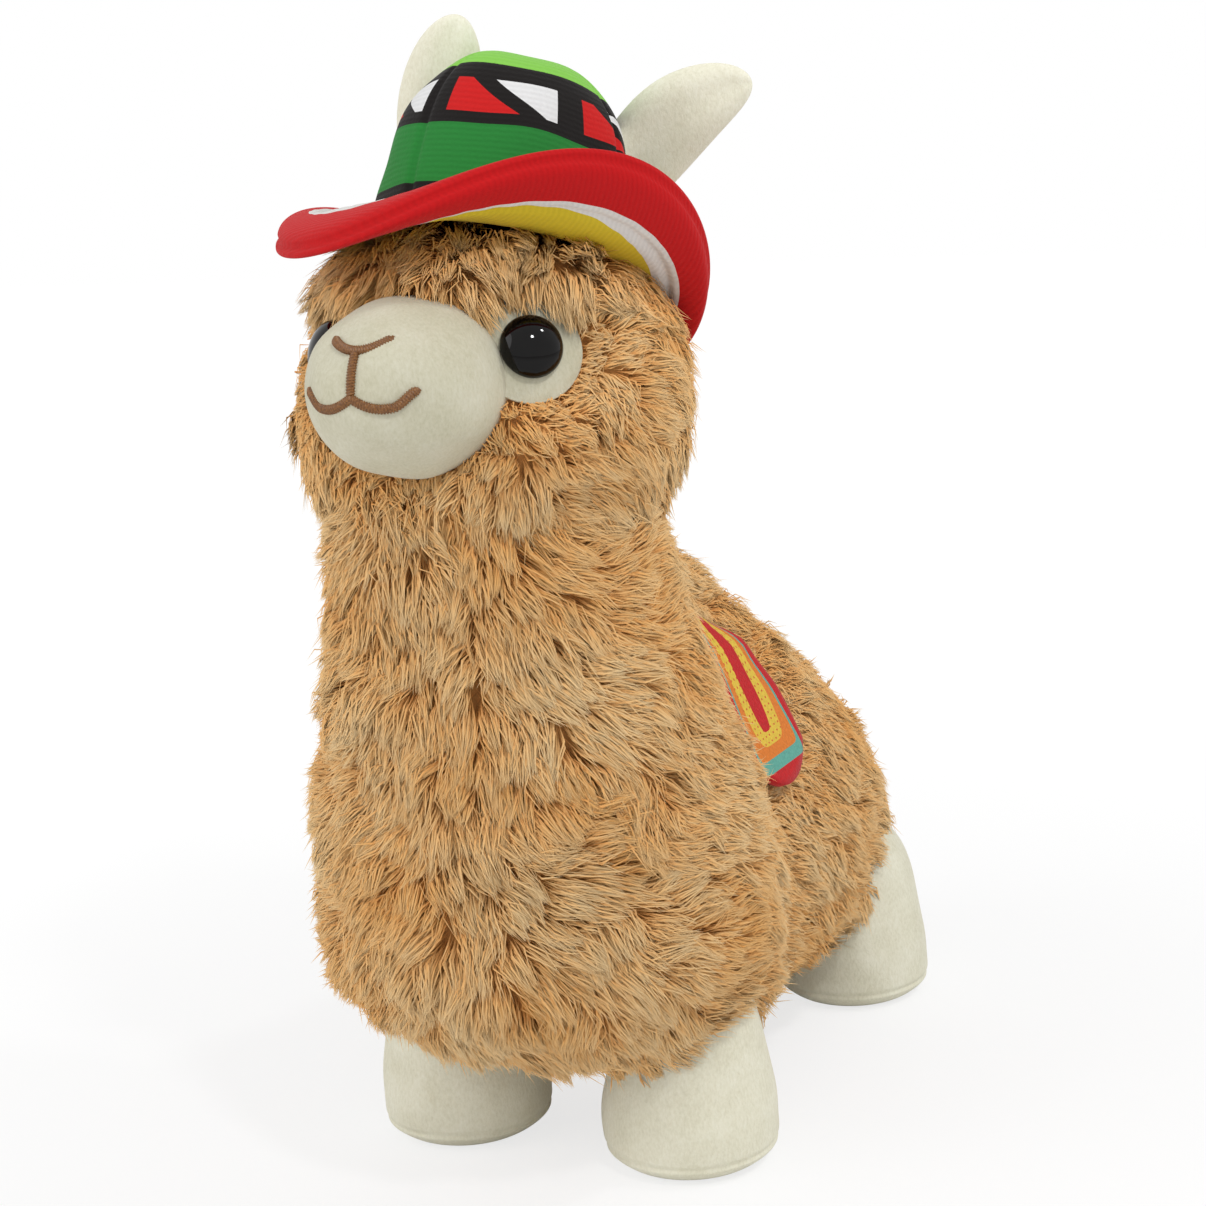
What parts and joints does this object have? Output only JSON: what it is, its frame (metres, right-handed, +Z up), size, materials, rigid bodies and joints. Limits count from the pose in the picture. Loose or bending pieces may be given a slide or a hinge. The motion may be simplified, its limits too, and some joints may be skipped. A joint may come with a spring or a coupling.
{
  "type": "plush alpaca",
  "caption": "Standing stuffed alpaca with shaggy fur, short-pile muzzle, ears and feet, a padded brimmed hat and a printed saddle blanket.",
  "frame": {"origin": "centre of the underside of the bounding box, on the surface that the feet stand on", "axes": "+Z up, the toy faces -Y, +X is its own left"},
  "size_m": [0.1146, 0.2306, 0.2768],
  "materials": {
    "apricot_fur": "shaggy pile, tuft crests paler than their roots",
    "cream_velboa": "short velvety pile",
    "black_plastic": "polished",
    "white_plastic": "as moulded",
    "brown_thread": "satin stitch",
    "hat_knit": "finely ribbed printed knit in lime, black and green",
    "brim_cloth": "finely ribbed padded cloth with a red edge, then white and yellow",
    "blanket_cloth": "printed short pile with concentric bands"
  },
  "bodies": {
    "root": {"head": "apricot_fur", "body": "apricot_fur", "tail": "apricot_fur", "foot_front_left": "cream_velboa", "foot_front_right": "cream_velboa", "foot_rear_left": "cream_velboa", "foot_rear_right": "cream_velboa", "muzzle": "cream_velboa", "nose_mouth_embroidery": "brown_thread", "eye_patch_left": "cream_velboa", "eye_patch_right": "cream_velboa", "eye_left": "black_plastic", "eye_right": "black_plastic", "eye_washer_left": "white_plastic", "eye_washer_right": "white_plastic", "ear_left": "cream_velboa", "ear_right": "cream_velboa", "hat_crown": "hat_knit", "hat_brim": "brim_cloth", "saddle_blanket": "blanket_cloth"}
  },
  "joints": []
}
